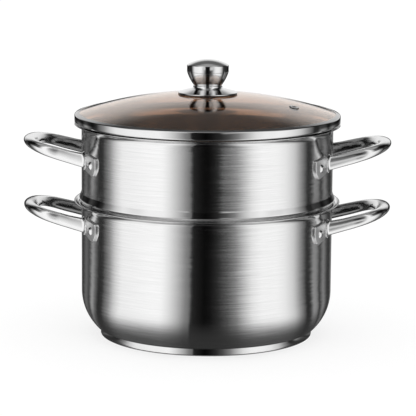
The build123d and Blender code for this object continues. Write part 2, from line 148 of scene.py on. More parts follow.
# %% [markdown]
# ## The studio
# Polished steel shows nothing but its surroundings, so the surroundings are the real
# material of this picture. A photographer stands the pot between two long white cards, left
# and right, with black card in front and narrow strips of card further back. Here a big
# bowl-shaped screen stands round the pot. Only steel and glass see it, and its brightness
# changes with the direction, as those cards would.
#
# The two lists go round from the front, at 0 degrees, to the back, at 180. Each stop is an
# angle and a brightness, and a colour ramp blends from stop to stop.

# %% Brightness of the cards, by the direction in which the wall reflects them
CARD_STRENGTH = 1.45
LEFT_CARDS = [
    (0, 0.002), (9, 0.010), (12, 0.015), (13, 0.15), (17, 0.20), (24, 0.45), (32, 0.72),
    (39, 0.90), (47, 0.91), (64, 0.88), (82, 0.83), (90, 0.60), (98, 0.24), (108, 0.03),
    (115, 0.02), (121, 0.12), (127, 0.30), (134, 0.04), (144, 0.12), (156, 0.02), (180, 0.20),
]
RIGHT_CARDS = [
    (0, 0.002), (5, 0.005), (13, 0.022), (20, 0.07), (28, 0.20), (35, 0.46), (43, 0.74),
    (52, 0.87), (68, 0.88), (77, 0.80), (87, 0.60), (96, 0.26), (105, 0.02), (111, 0.03),
    (117, 0.26), (123, 0.20), (128, 0.02), (137, 0.20), (146, 0.05), (156, 0.02), (180, 0.35),
]


def card_ramp(tree, share, cards):
    """A colour ramp over half a turn, from the front (0 degrees) to the back (180)."""
    ramp = tree.nodes.new("ShaderNodeValToRGB")
    stops = ramp.color_ramp.elements
    while len(stops) < len(cards):
        stops.new(0.5)
    for stop, (angle, level) in zip(stops, cards):
        stop.position = angle / 180
        stop.color = (level, level, level, 1)
    tree.links.new(share, ramp.inputs[0])
    return ramp.outputs[0]


def mixed_value(tree, mask, low, high):
    """low where the mask is 0 and high where it is 1."""
    node = tree.nodes.new("ShaderNodeMix")
    for label, value in (("Factor", mask), ("A", low), ("B", high)):
        feed(tree, node.inputs[label], value)
    return node.outputs["Result"]

# %% [markdown]
# A point of the screen is described by the direction in which it stands, `around`, its
# height `z` and its distance from the pot's axis. Every card is a mask from 0 to 1 made of
# soft steps, so each edge is written as a pair: where the step starts and where it ends, in
# degrees for a direction and in metres for a height or a distance.
#
# The pot's wall is nearer to the screen than its axis is, so what a wall mirrors stands a
# little further round: `lead` allows for that.

# %% Two long cards beside the pot
LEAD = 0.55
ABOVE_LID = ((48, 70), (0.38, 0.52), 0.9)
BESIDE_LID = ((94, 108), (0.150, 0.160), 0.85)


def masked(tree, first, *masks):
    """The first value multiplied by every mask."""
    for mask in masks:
        first = calc(tree, "MULTIPLY", first, mask)
    return first


def turned(tree, around, start, end, low=0.0, high=1.0):
    """A soft step between two directions in degrees."""
    return smooth_step(tree, around, radians(start), radians(end), low, high)


def side_cards(tree, x, z, distance, around):
    """The side cards end above the lid, and black card beside the lid hides their back."""
    lead = calc(tree, "SINE", calc(tree, "MULTIPLY", around, LEAD))
    lead = masked(tree, lead, calc(tree, "DIVIDE", WALL_RADIUS * MM, distance))
    share = calc(tree, "DIVIDE", calc(tree, "ADD", around, lead), pi)
    left, right = (card_ramp(tree, share, cards) for cards in (LEFT_CARDS, RIGHT_CARDS))
    cards = mixed_value(tree, calc(tree, "GREATER_THAN", x, 0.0), left, right)
    for directions, heights, black in (ABOVE_LID, BESIDE_LID):
        height = smooth_step(tree, z, *heights, 0.0, black)
        gap = masked(tree, turned(tree, around, *directions), height)
        cards = masked(tree, cards, calc(tree, "SUBTRACT", 1.0, gap))
    return cards

# %% [markdown]
# The table close to the pot is dark, because the pot shades it, so the screen's lower part
# is dark there too. A dim card low in front whitens the handles, the backdrop lights the
# glass and the knob's dome, and a little light comes from overhead. Where several cards
# overlap, the brightest one counts.

# %% Table, front card, backdrop and light from above
TABLE_LEVEL = 0.03
TABLE_CLEARS = (0.130, 0.215)
TABLE_REMAINS = 0.04
TABLE_BACK, TABLE_BACK_CLEAR = (75, 95), 0.6
FRONT_LEVEL = 0.55
FRONT_START, FRONT_END = (9, 16), (40, 60)
FRONT_FOOT, FRONT_TOP = (0.17, 0.24), (0.38, 0.52)
BACKDROP_LEVEL, BACKDROP_TOP_LEVEL = 0.70, 0.11
BACKDROP_START, BACKDROP_MIDDLE = (120, 150), (167, 173)
BACKDROP_FOOT, BACKDROP_TOP = (0.24, 0.31), (0.50, 0.80)


def dark_table(tree, cards, distance, around):
    """The table hides the cards' foot near the pot, and less of it behind the pot."""
    clear = smooth_step(tree, distance, *TABLE_CLEARS, TABLE_REMAINS, 1.0)
    behind = turned(tree, around, *TABLE_BACK, 0.0, TABLE_BACK_CLEAR)
    return mixed_value(tree, calc(tree, "MAXIMUM", clear, behind), TABLE_LEVEL, cards)


def front_card(tree, z, around):
    """A card on each side of the middle that stands clear of the table."""
    start, end = turned(tree, around, *FRONT_START), turned(tree, around, *FRONT_END, 1.0, 0.0)
    foot, top = smooth_step(tree, z, *FRONT_FOOT), smooth_step(tree, z, *FRONT_TOP, 1.0, 0.0)
    return masked(tree, masked(tree, start, end), masked(tree, foot, top), FRONT_LEVEL)


def backdrop(tree, z, around):
    """The backdrop reaches down to the table in the middle and fades towards its top."""
    beside, above = turned(tree, around, *BACKDROP_START), smooth_step(tree, z, *BACKDROP_FOOT)
    middle = turned(tree, around, *BACKDROP_MIDDLE)
    behind = calc(tree, "MAXIMUM", masked(tree, beside, above), middle)
    level = smooth_step(tree, z, *BACKDROP_TOP, BACKDROP_LEVEL, BACKDROP_TOP_LEVEL)
    return masked(tree, behind, level)

# %% [markdown]
# The screen only gives light, so an Emission shader takes the place of the Principled one,
# with the cards' brightness as its strength. Light from overhead starts above the cards. The
# camera and the floor don't see the screen, and it casts no shadow.

# %% Material of the screen
OVERHEAD_LEVEL = 0.30
OVERHEAD_FOOT = (0.95, 1.10)


def card_material():
    """The brightness of every card, put together by direction, height and distance."""
    material, tree, principled = new_material("studio_cards")
    tree.nodes.remove(principled)
    x, y, z = place(tree)
    squares = [calc(tree, "POWER", value, 2.0) for value in (x, y)]
    distance = calc(tree, "SQRT", calc(tree, "ADD", *squares))
    backwards = calc(tree, "MULTIPLY", y, -1.0)
    around = calc(tree, "ARCTAN2", calc(tree, "ABSOLUTE", x), backwards)
    level = dark_table(tree, side_cards(tree, x, z, distance, around), distance, around)
    overhead = smooth_step(tree, z, *OVERHEAD_FOOT, 0.0, OVERHEAD_LEVEL)
    for card in (front_card(tree, z, around), backdrop(tree, z, around), overhead):
        level = calc(tree, "MAXIMUM", level, card)
    emission = tree.nodes.new("ShaderNodeEmission")
    tree.links.new(masked(tree, level, CARD_STRENGTH), emission.inputs["Strength"])
    tree.links.new(emission.outputs[0], tree.nodes["Material Output"].inputs["Surface"])
    return material


def see_only_in_reflections(card):
    """Hide the card from the camera, from dull surfaces and from shadow rays."""
    card.visible_camera = False
    card.visible_diffuse = False
    card.visible_shadow = False
    card.visible_transmission = True

# %% [markdown]
# ## Bent sheet metal
# A pot's wall is one drawn sheet, so its section is a line with round bends. `bent_line`
# draws that line with two of bmesh's operators: it extrudes a point along each straight
# stretch and spins it round the middle of each bend. One full spin about the pot's axis
# then makes the shell.

# %% Draw the section of a bent sheet
BEND_DEGREES = 6.0
BEND_LENGTH = 3.0
MERGE = 0.002 * MM


def straight(bm, tip, end):
    """Extrude the line's tip to a point of the section; returns the new tip."""
    target = Vector((end.x * MM, 0, end.y * MM))
    if (tip.co - target).length < MERGE:
        return tip
    tip = bmesh.ops.extrude_vert_indiv(bm, verts=[tip])["verts"][0]
    tip.co = target
    return tip


def bent_line(bm, corners, bends):
    """Draw a line in the XZ plane, in mm, with a round bend at each inner corner."""
    points = [Vector(corner) for corner in corners]
    tip = bm.verts.new((points[0].x * MM, 0, points[0].y * MM))
    for before, corner, after, bend in zip(points, points[1:], points[2:], bends):
        way_in, way_out = (corner - before).normalized(), (after - corner).normalized()
        turn = -way_in.angle_signed(way_out)
        start = corner - way_in * bend * tan(abs(turn) / 2)
        tip = straight(bm, tip, start)
        if bend:
            centre = start + Vector((-way_in.y, way_in.x)) * (bend if turn > 0 else -bend)
            by_angle = degrees(abs(turn)) / BEND_DEGREES
            by_length = abs(turn) * bend / BEND_LENGTH
            arc = bmesh.ops.spin(
                bm, geom=[tip], cent=(centre.x * MM, 0, centre.y * MM), axis=(0, -1, 0),
                dvec=(0, 0, 0), angle=turn, steps=max(2, ceil(by_angle), ceil(by_length)),
            )
            tip = [end for end in arc["geom_last"] if isinstance(end, bmesh.types.BMVert)][0]
    straight(bm, tip, points[-1])


def arc_corner(centre, radius, start, end):
    """The corner whose bend of that radius runs round the centre from start to end.
    Start and end are angles from the vertical."""
    reach = radius / cos((end - start) / 2)
    middle = (start + end) / 2
    return (reach * sin(middle), centre + reach * cos(middle))

# %% [markdown]
# Both faces of the sheet are wanted, because the lips show the metal's thickness. So the
# line runs along the outer corners and comes back along corners moved to its left by the
# sheet's thickness. A bend that turns towards the moved side gets tighter there.

# %% Go back along the sheet's other face
def both_faces(corners, bends, sheet, edge_round=0.0):
    """Corners and bends of a closed sheet section, with its free edges rounded."""
    points = [Vector(corner) for corner in corners]
    inner, inner_bends = [], []
    for index, point in enumerate(points):
        way_in = point - points[index - 1] if index else points[1] - point
        way_out = points[index + 1] - point if index + 1 < len(points) else way_in
        left_in = Vector((-way_in.y, way_in.x)).normalized()
        left_out = Vector((-way_out.y, way_out.x)).normalized()
        between = (left_in + left_out).normalized()
        inner.append(point + between * sheet / between.dot(left_in))
        if 0 < index < len(points) - 1:
            turns_left = way_in.cross(way_out) > 0
            inner_bends.append(bends[index - 1] + (-sheet if turns_left else sheet))
    edge_bends = [edge_round, edge_round]
    return points + inner[::-1] + points[:1], bends + edge_bends + inner_bends[::-1] + [0]

# %% [markdown]
# The spin ends where it started, so it merges its last line with its first, and all the
# points that sit on the axis become one. The part of a section where two straight stretches
# meet can be softened afterwards with a bevel on that ring of edges.

# %% Spin a section and soften its rings
ROUND_STEPS = 192
RING_SEGMENTS = 4


def spin_section(bm, corners, bends, steps=ROUND_STEPS):
    """Spin a section about the Z axis and close its seam and its pole."""
    bent_line(bm, corners, bends)
    bmesh.ops.spin(
        bm, geom=bm.verts[:] + bm.edges[:], cent=(0, 0, 0), axis=(0, 0, 1), dvec=(0, 0, 0),
        angle=2 * pi, steps=steps, use_merge=True,
    )
    bmesh.ops.remove_doubles(bm, verts=bm.verts[:], dist=MERGE)


def rounded(bm, edges, width, segments, affect="EDGES"):
    """Round edges by a width in mm, or corners where affect is VERTICES."""
    bmesh.ops.bevel(
        bm, geom=edges, offset=width * MM, offset_type="OFFSET", affect=affect,
        segments=segments, profile=0.5, material=-1,
    )


def soften_ring(bm, radius, height, width):
    """Round the ring of edges at that radius and height, all in mm."""
    def on_ring(vert):
        level = abs(vert.co.z - height * MM) < 10 * MERGE
        return level and abs(vert.co.xy.length - radius * MM) < 10 * MERGE
    ring = [edge for edge in bm.edges if all(on_ring(vert) for vert in edge.verts)]
    rounded(bm, ring, width, RING_SEGMENTS)

# %% [markdown]
# Every mesh is finished in the same way. Its faces are turned outwards and shaded smooth,
# and an edge stays sharp where its two faces meet at more than 35 degrees.

# %% Finish the mesh
SHARP_DEGREES = 35.0


def finished(bm, name):
    """Turn the faces outwards and make the object, smooth but for its sharp edges."""
    bmesh.ops.recalc_face_normals(bm, faces=bm.faces[:])
    for face in bm.faces:
        face.smooth = True
    mesh = bpy.data.meshes.new(name)
    bm.to_mesh(mesh)
    bm.free()
    mesh.set_sharp_from_angle(angle=radians(SHARP_DEGREES))
    piece = bpy.data.objects.new(name, mesh)
    bpy.context.scene.collection.objects.link(piece)
    print(f"{name}: {len(mesh.polygons)} faces")
    return piece


def spun(name, corners, bends, soft_rings=()):
    """A round piece about the pot's axis. Soft rings are (radius, height, width)."""
    bm = bmesh.new()
    spin_section(bm, corners, bends)
    for radius, height, width in soft_rings:
        soften_ring(bm, radius, height, width)
    return finished(bm, name)

# %% [markdown]
# The screen is spun like a pot, with a wide bend at the foot and a wider one at the top, so
# that no corner of it shows in the steel. The floor is a flat round sheet under everything.

# %% Set up the screen and the floor
STAGE_STEPS = 96
SCREEN_CORNERS = [(100, 1), (700, 1), (700, 1150), (0, 1150)]
SCREEN_BENDS = [150, 350]
FLOOR_RADIUS = 30.0

bm = bmesh.new()
spin_section(bm, SCREEN_CORNERS, SCREEN_BENDS, steps=STAGE_STEPS)
screen = finished(bm, "studio_screen")
screen.data.materials.append(card_material())
see_only_in_reflections(screen)

bm = bmesh.new()
bmesh.ops.create_circle(bm, cap_ends=True, segments=STAGE_STEPS, radius=FLOOR_RADIUS)
floor = finished(bm, "studio_floor")

# %% [markdown]
# The floor is white for the camera and for anything seen in steel or through glass. It gets
# that white from its own colour, never from stronger lamps, so the pot is lit as before, and
# the floor still shows the pot's soft shadow. The world round it is plain white.

# %% White floor and background
FLOOR_GREY = 0.3
FLOOR_GLOW = 0.74
WORLD_LIGHT = 1.0
WHITE = (1, 1, 1, 1)


def seen_by_lens(tree):
    """1 where the camera sees a thing, straight on or in steel or through glass."""
    rays = tree.nodes.new("ShaderNodeLightPath").outputs
    mirrored = calc(tree, "MAXIMUM", rays["Is Glossy Ray"], rays["Is Transmission Ray"])
    return calc(tree, "MAXIMUM", rays["Is Camera Ray"], mirrored)


material, tree, shader = new_material("pale_floor")
shader.inputs["Base Color"].default_value = (FLOOR_GREY, FLOOR_GREY, FLOOR_GREY, 1)
shader.inputs["Roughness"].default_value = 1.0
shader.inputs["Specular IOR Level"].default_value = 0.0
shader.inputs["Emission Color"].default_value = WHITE
glow = calc(tree, "MULTIPLY", seen_by_lens(tree), FLOOR_GLOW)
tree.links.new(glow, shader.inputs["Emission Strength"])
floor.data.materials.append(material)

world = bpy.data.worlds.new("studio")
bpy.context.scene.world = world
world.use_nodes = True
background = world.node_tree.nodes["Background"]
background.inputs["Color"].default_value = WHITE
background.inputs["Strength"].default_value = WORLD_LIGHT
print("The floor glows by", FLOOR_GLOW, "and the world by", WORLD_LIGHT)

# %% [markdown]
# ## Finishes
# Each material below is a finish of this pot, but some greys are painted: shade in the inside
# steel and in the handles' openings, and a dark reflection in the steel of the lid's fold and the
# vent. A pattern that serves several finishes is a node group: it is built once and placed in
# each material with its own values.

# %% Helpers for node groups
def new_group(name, inputs, outputs):
    """An empty group: returns it, what its inputs give and what its outputs take. An input
    that starts as a number is a number, and one that starts as three is a direction."""
    group = bpy.data.node_groups.new(name, "ShaderNodeTree")
    for label, value in inputs.items():
        kind = "NodeSocketFloat" if isinstance(value, float) else "NodeSocketVector"
        socket = group.interface.new_socket(label, in_out="INPUT", socket_type=kind)
        socket.default_value = value
    for label, kind in outputs.items():
        group.interface.new_socket(label, in_out="OUTPUT", socket_type=kind)
    given = group.nodes.new("NodeGroupInput").outputs
    return group, given, group.nodes.new("NodeGroupOutput").inputs


def placed(tree, group, values):
    """Place a group in a material with its own values; returns what the group gives."""
    node = tree.nodes.new("ShaderNodeGroup")
    node.node_tree = group
    for label, value in values.items():
        feed(tree, node.inputs[label], value)
    return node.outputs


def noise(group, where, scale, detail, roughness=0.5):
    """A Noise Texture over those coordinates; returns its value, 0 to 1."""
    node = group.nodes.new("ShaderNodeTexNoise")
    group.links.new(where, node.inputs["Vector"])
    for label, value in (("Scale", scale), ("Detail", detail), ("Roughness", roughness)):
        feed(group, node.inputs[label], value)
    return node.outputs[0]


def scaled_and_moved(group, direction, scale, move):
    """A direction times a scale plus another direction; returns the sum."""
    node = group.nodes.new("ShaderNodeVectorMath")
    node.operation = "MULTIPLY_ADD"
    for socket, value in zip(node.inputs, (direction, scale, move)):
        group.links.new(value, socket)
    return node.outputs[0]

# %% [markdown]
# Brushed steel has fine strokes round the wall: noise stretched round the pot, which serves
# the walls' roughness, colour and lean. A real stroke is a tiny groove, and its sides throw
# the reflection a little to the left or right. The group does the same: it adds a bit of the
# direction round the pot to the direction that the face looks in. The bands that the cards
# make in the wall then get the ragged edges of brushed steel.
#
# The other group is an even grain, for what is polished, cast or rubber.

# %% Brush strokes and even grain
NOISE_SPAN = (0.3, 0.7)
STROKE_DETAIL, STROKE_ROUGHNESS = 4.0, 0.65


def brush_strokes():
    """Fine strokes that run round the pot: their height, 0 to 1, and the leaning normal."""
    group, given, taken = new_group("brush_strokes", {
        "Strokes per metre": 900.0, "Stroke length": 0.05, "Lean": 0.01,
        "Round the pot": (0, 0, 0), "Normal": (0, 0, 1),
    }, {"Height": "NodeSocketFloat", "Normal": "NodeSocketVector"})
    along = calc(group, "DIVIDE", 1.0, given["Stroke length"])
    stretched = group.nodes.new("ShaderNodeCombineXYZ")
    scales = (along, along, given["Strokes per metre"])
    for value, scale, socket in zip(place(group), scales, stretched.inputs):
        group.links.new(calc(group, "MULTIPLY", value, scale), socket)
    height = noise(group, stretched.outputs[0], 1.0, STROKE_DETAIL, STROKE_ROUGHNESS)
    other_side = calc(group, "MULTIPLY", given["Lean"], -1.0)
    side = smooth_step(group, height, *NOISE_SPAN, other_side, given["Lean"])
    lean = scaled_and_moved(group, given["Round the pot"], side, given["Normal"])
    group.links.new(height, taken["Height"])
    group.links.new(lean, taken["Normal"])
    return group


def even_grain():
    """Plain noise that sits still on the piece: its height, 0 to 1."""
    group, given, taken = new_group("even_grain", {
        "Grains per metre": 60.0, "Detail": 2.0,
    }, {"Height": "NodeSocketFloat"})
    coordinates = group.nodes.new("ShaderNodeTexCoord").outputs["Object"]
    height = noise(group, coordinates, given["Grains per metre"], given["Detail"])
    group.links.new(height, taken["Height"])
    return group


STROKES = brush_strokes()
GRAIN = even_grain()


def grain(tree, per_metre, detail=2.0):
    """The even grain's height, placed in a material with its own values."""
    return placed(tree, GRAIN, {"Grains per metre": per_metre, "Detail": detail})["Height"]

# %% [markdown]
# The strokes blur a reflection up and down and leave it sharp from side to side, so the
# cards show as upright bands. The anisotropic shader does that, and it needs the direction
# round the pot to know which way to blur. Steel that isn't brushed is nearly a mirror where
# it is polished, and soft and pale where it has a satin finish.

# %% Brushed, polished and satin steel
ACROSS_STROKES = 0.25
STEEL_GRAIN, STEEL_DETAIL = 60.0, 3.0


def two_shades(tree, shader, mask, first, second):
    """Let the base colour go from the first shade to the second with the mask. Where the
    first is None, what is linked already takes its place."""
    shade = tree.nodes.new("ShaderNodeMix")
    shade.data_type = "RGBA"
    base = shader.inputs["Base Color"]
    if first is None:
        tree.links.new(base.links[0].from_socket, shade.inputs["A"])
    else:
        shade.inputs["A"].default_value = (*first, 1)
    shade.inputs["B"].default_value = (*second, 1)
    tree.links.new(mask, shade.inputs["Factor"])
    tree.links.new(shade.outputs["Result"], base)


def brush(tree, shader, lean):
    """Blur across the strokes and lean the shading with each; returns the strokes' height."""
    tangent = tree.nodes.new("ShaderNodeTangent")
    tangent.direction_type = "RADIAL"
    tangent.axis = "Z"
    shader.inputs["Anisotropic"].default_value = 1.0
    shader.inputs["Anisotropic Rotation"].default_value = ACROSS_STROKES
    tree.links.new(tangent.outputs[0], shader.inputs["Tangent"])
    facing = tree.nodes.new("ShaderNodeNewGeometry").outputs["Normal"]
    values = {"Lean": lean, "Round the pot": tangent.outputs[0], "Normal": facing}
    strokes = placed(tree, STROKES, values)
    tree.links.new(strokes["Normal"], shader.inputs["Normal"])
    return strokes["Height"]


def steel(name, grey, roughness, spread, strokes=0.0, contrast=0.12):
    """Steel whose roughness varies by spread and whose grey by contrast; strokes is how far
    its brushing leans."""
    material, tree, shader = new_material(name)
    shader.inputs["Metallic"].default_value = 1.0
    if strokes:
        height = brush(tree, shader, strokes)
    else:
        height = grain(tree, STEEL_GRAIN, STEEL_DETAIL)
    rough = smooth_step(tree, height, *NOISE_SPAN, roughness - spread, roughness + spread)
    tree.links.new(rough, shader.inputs["Roughness"])
    two_shades(tree, shader, height, [grey * (1 - contrast)] * 3, [grey] * 3)
    return material


BRUSHED = steel("brushed_steel", 0.81, 0.18, 0.03, strokes=0.015, contrast=0.27)
# The inside's darker grey is painted shade: little light reaches inside the pot.
INSIDE_STEEL_PAINTED_SHADE = steel("inside_steel_painted_shade", 0.52, 0.16, 0.03, strokes=0.01)
POLISHED = steel("polished_steel", 0.70, 0.07, 0.02)
SATIN = steel("satin_steel", 0.88, 0.38, 0.04)
# A darker grey that paints a dark reflection, for the lid's fold and the vent.
PAINTED_DARK_STEEL = steel("painted_dark_reflection_steel", 0.26, 0.12, 0.03)
HARDWARE = steel("plain_hardware", 0.58, 0.25, 0.05)

# %% [markdown]
# The cup of the knob and the handles bend in two directions, so they would mirror mostly the
# table and the ceiling. In the photograph they are white from edge to edge. This group keeps
# only a share of the faces' up and down slope for the shading, and tips it up by a lift, so
# that they mirror the cards.

# %% Shade steel as if its faces stood straighter
def straighter_faces():
    """The direction of a face with only that share of its slope, tipped up by that lift."""
    group, given, taken = new_group("straighter_faces", {
        "Slope": 1.0, "Lift": 0.0, "Normal": (0, 0, 1),
    }, {"Normal": "NodeSocketVector"})
    share = group.nodes.new("ShaderNodeCombineXYZ")
    tip = group.nodes.new("ShaderNodeCombineXYZ")
    for socket, value in zip(share.inputs, (1.0, 1.0, given["Slope"])):
        feed(group, socket, value)
    feed(group, tip.inputs["Z"], given["Lift"])
    normal = scaled_and_moved(group, given["Normal"], share.outputs[0], tip.outputs[0])
    group.links.new(normal, taken["Normal"])
    return group


STRAIGHTER = straighter_faces()


def stand_up(material, slope, lift=0.0):
    """Shade the piece as if its faces stood straighter than they do."""
    tree = material.node_tree
    facing = tree.nodes.new("ShaderNodeNewGeometry").outputs["Normal"]
    upright = placed(tree, STRAIGHTER, {"Slope": slope, "Lift": lift, "Normal": facing})
    tree.links.new(upright["Normal"], tree.nodes["Principled BSDF"].inputs["Normal"])


CUP_STEEL = steel("cup_steel", 0.74, 0.09, 0.02)
stand_up(CUP_STEEL, slope=0.35)
HANDLE_STEEL = steel("handle_steel", 0.74, 0.13, 0.03)
stand_up(HANDLE_STEEL, slope=0.75, lift=0.16)

# %% [markdown]
# The faces inside a handle's opening look at the other arm and at the pot, and little light
# reaches them, so shade is painted there: their base colour goes darker. A face belongs to the
# opening when it looks towards the opening's middle: the mask measures how much it does so.

# %% Painted shade in the handles' openings
OPENING_MIDDLE = 165.0
OPENING_EDGE = (0.012, 0.032)
# The darker grey of the painted shade in the openings.
OPENING_SHADE_GREY = 0.20


def paint_opening_shade(material):
    """Paint shade on the faces that look at the middle of a handle's opening."""
    tree = material.node_tree
    x, y = place(tree)[:2]
    split = tree.nodes.new("ShaderNodeSeparateXYZ")
    facing = tree.nodes.new("ShaderNodeNewGeometry").outputs["Normal"]
    tree.links.new(facing, split.inputs[0])
    outwards = calc(tree, "SUBTRACT", OPENING_MIDDLE * MM, calc(tree, "ABSOLUTE", x))
    outwards = masked(tree, outwards, split.outputs["X"], calc(tree, "SIGN", x))
    inwards = calc(tree, "SUBTRACT", outwards, masked(tree, y, split.outputs["Y"]))
    mask = smooth_step(tree, inwards, *OPENING_EDGE)
    # The mask paints shade: the base colour goes to the darker grey in the opening.
    two_shades(tree, tree.nodes["Principled BSDF"], mask, None, [OPENING_SHADE_GREY] * 3)


paint_opening_shade(HANDLE_STEEL)

# %% [markdown]
# The disc under the pot is bare cast aluminium, and the seals are black rubber. Neither was
# ever polished, so both are rough with a fine grain.

# %% Cast aluminium and rubber
DULL_GRAIN = 400.0
DULL_SPREAD = 0.15
DULL_CONTRAST = 0.2


def dull(name, colour, roughness, metallic=0.0):
    """A dull finish with a faint grain in its roughness and its colour."""
    material, tree, shader = new_material(name)
    shader.inputs["Metallic"].default_value = metallic
    height = grain(tree, DULL_GRAIN)
    low, high = roughness * (1 - DULL_SPREAD), roughness * (1 + DULL_SPREAD)
    tree.links.new(smooth_step(tree, height, *NOISE_SPAN, low, high), shader.inputs["Roughness"])
    two_shades(tree, shader, height, [level * (1 - DULL_CONTRAST) for level in colour], colour)
    return material


ALUMINIUM = dull("base_aluminium", (0.72, 0.72, 0.73), 0.45, metallic=1.0)
RUBBER = dull("seal_rubber", (0.03, 0.028, 0.027), 0.6)

# %% [markdown]
# The lid's glass is tinted right through, so its base colour is the tint of the light that
# has crossed it. Glass keeps its Metallic at 0 and its Transmission Weight at 1. Its only
# noise is a trace of unevenness in the roughness.

# %% Amber glass
GLASS_TINT = (0.75, 0.53, 0.39)
GLASS_IOR = 1.5
GLASS_GRAIN = 25.0
GLASS_ROUGHNESS = 0.02


def amber_glass():
    """Clear glass with an amber tint and a nearly perfect polish."""
    material, tree, shader = new_material("amber_glass")
    shader.inputs["Base Color"].default_value = (*GLASS_TINT, 1)
    shader.inputs["Metallic"].default_value = 0.0
    shader.inputs["Transmission Weight"].default_value = 1.0
    shader.inputs["IOR"].default_value = GLASS_IOR
    uneven = smooth_step(tree, grain(tree, GLASS_GRAIN), *NOISE_SPAN, 0.0, GLASS_ROUGHNESS)
    tree.links.new(uneven, shader.inputs["Roughness"])
    return material


GLASS = amber_glass()
print("Materials:", ", ".join(material.name for material in bpy.data.materials))

# %% [markdown]
# A finished mesh still needs its finish, the body that it moves with, and the CAD nodes that it
# stands for. `dress` gives all three in one line.

# %% Dress a piece
def dress(piece, body, slot, material, *nodes):
    """Give a piece its finish, its body and the CAD nodes that it stands for. The slot is not
    used.
    """
    piece.data.materials.append(material)
    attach(piece, body)
    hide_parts(*nodes)
    return piece

# %% [markdown]
# ## The pot
# The pot is a deep bowl with a straight wall, a rounded belly and a lip that flares out in a
# quarter turn. A flat cap under it hides the thick aluminium disc that spreads the heat.

# %% Pot wall, floor and lip
BELLY_START = 122.0
BELLY_RISE = 19.4
BELLY_BENDS = [8.0, 57.0]
pot_corners = [
    (0, FLOOR_HEIGHT),
    (BELLY_START, FLOOR_HEIGHT),
    (WALL_RADIUS, FLOOR_HEIGHT + BELLY_RISE),
    (WALL_RADIUS, POT_HEIGHT - SHEET),
    (LIP_RADIUS, POT_HEIGHT - SHEET),
]
pot_wall = spun("pot_wall", *both_faces(pot_corners, [*BELLY_BENDS, LIP_BEND], SHEET, LIP_EDGE))
dress(pot_wall, "pot", "brushed_shell", BRUSHED, "pot_shell")

# %% [markdown]
# The lip and the bead are buffed bright after the wall is brushed. The inside and the faces that
# look up get a darker grey: painted shade, for the little light that reaches in. One mesh can
# carry all three materials: each face has the number of its material, chosen here by where the
# face is and which way it looks.

# %% Polish the rims and paint shade on the inside
RIM_DEPTH = 9.0
RIM_STEP = 0.2
LOOKS_IN = 0.1
LOOKS_UP = 0.5


def polish_rims(piece):
    """Give every face the brushed finish (0), the polished one (1) or the inside's painted shade
    (2).
    """
    piece.data.materials.append(POLISHED)
    piece.data.materials.append(INSIDE_STEEL_PAINTED_SHADE)
    top = max(vertex.co.z for vertex in piece.data.vertices)
    for face in piece.data.polygons:
        reach = face.center.xy.length
        looks_in = face.normal.xy.dot(face.center.xy) < -LOOKS_IN * reach
        at_rim = looks_in and face.center.z > top - RIM_DEPTH * MM
        polished = at_rim or reach > (WALL_RADIUS + RIM_STEP) * MM
        inside = looks_in or face.normal.z > LOOKS_UP
        face.material_index = 1 if polished else 2 if inside else 0


polish_rims(pot_wall)

# %% [markdown]
# The cap is a shallow dish pressed over the aluminium disc. Its side leans in towards the
# top, because the press must let it go.

# %% Cap under the base
BASE_RADIUS = 119.6
BASE_LEAN = 1.5
BASE_BEND = 1.6
base_corners = [(0, 0), (BASE_RADIUS, 0), (BASE_RADIUS - BASE_LEAN, FLOOR_HEIGHT)]
base_cap = spun("pot_base_cap", *both_faces(base_corners, [BASE_BEND], SHEET))
dress(base_cap, "pot", "polished_base", POLISHED, "base_capsule")

# %% [markdown]
# ## The steamer
# The steamer is drawn from the same sheet. Its lower part fits inside the pot, its cone rests
# on the pot's lip, and the little bead above the cone hides the joint.

# %% Steamer wall with its cone and bead
STEAMER_FLOOR = 118.0
SPIGOT_RADIUS = 138.0
CONE_FOOT = 141.63
BEAD_RADIUS, BEAD_HEIGHT = 143.5, 156.74
BEAD_TOP = 163.34
steamer_corners = [
    (0, STEAMER_FLOOR),
    (SPIGOT_RADIUS, STEAMER_FLOOR),
    (SPIGOT_RADIUS, CONE_FOOT),
    (BEAD_RADIUS, BEAD_HEIGHT),
    (WALL_RADIUS, BEAD_TOP),
    (WALL_RADIUS, STEAMER_HEIGHT - SHEET),
    (LIP_RADIUS, STEAMER_HEIGHT - SHEET),
]
steamer_bends = [12.0, 4.0, 1.8, 6.0, LIP_BEND]
steamer_wall = spun("steamer_wall", *both_faces(steamer_corners, steamer_bends, SHEET, LIP_EDGE))

# %% [markdown]
# The holes stand in rings, with six more holes in each ring than in the one inside it. A
# Boolean modifier cuts them all at once with a bundle of rods, and the rods are then removed.

# %% Punch the holes in the steamer's floor
HOLE_RADIUS = 4.5
HOLE_PITCH = 22.5
HOLE_RINGS = 5
HOLES_ADDED = 6
ROD_SIDES = 24
ROD_LENGTH = 6 * SHEET


def keep_result(piece, name):
    """Swap the piece's mesh for what its modifiers make of it."""
    seen = piece.evaluated_get(bpy.context.evaluated_depsgraph_get())
    mesh = bpy.data.meshes.new_from_object(seen)
    mesh.name = name
    piece.modifiers.clear()
    piece.data = mesh


